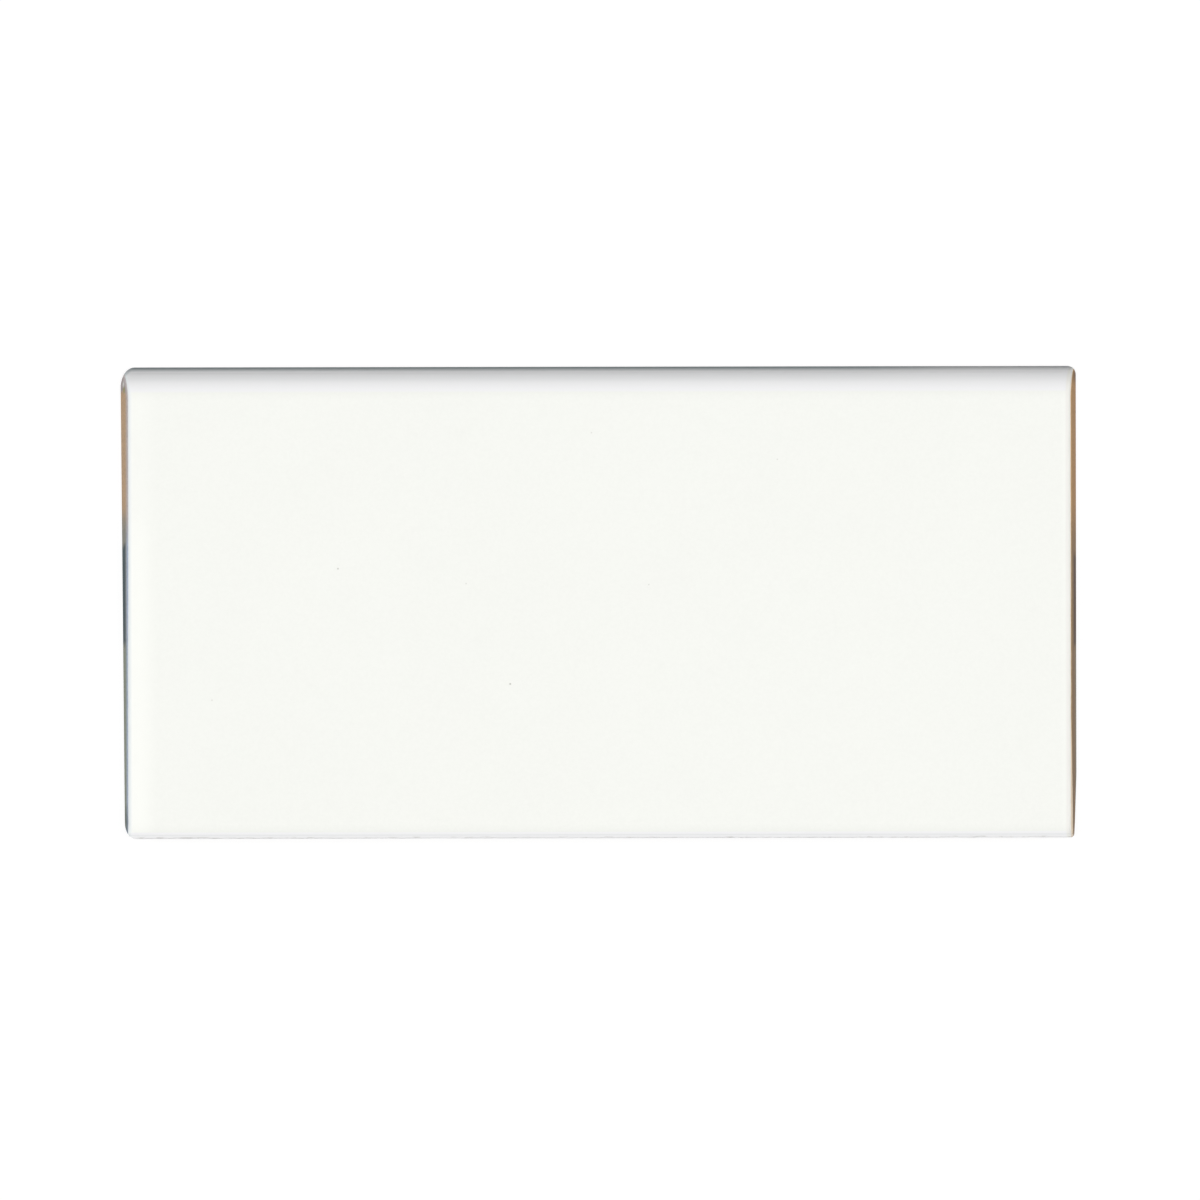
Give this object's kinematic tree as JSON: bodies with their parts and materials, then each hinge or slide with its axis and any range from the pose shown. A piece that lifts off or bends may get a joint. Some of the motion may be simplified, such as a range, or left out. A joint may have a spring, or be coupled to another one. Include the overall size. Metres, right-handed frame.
{
  "type": "ceramic bullnose tile",
  "caption": "White glazed ceramic wall tile, oblong, with one long edge rounded over as a bullnose and a ribbed back, used to finish the open edge of a tiled area.",
  "frame": {"origin": "middle of the back, on the plane of the ribs", "axes": "+X along the bullnose, +Y across the tile towards the bullnose edge, +Z out of the glazed face"},
  "size_m": [0.1524, 0.0752, 0.0079],
  "materials": {
    "tile": "smooth white glaze on the face, bullnose and butt arc, bare tan body on the ends and back"
  },
  "bodies": {
    "root": {"bullnose_tile": "tile"}
  },
  "joints": []
}
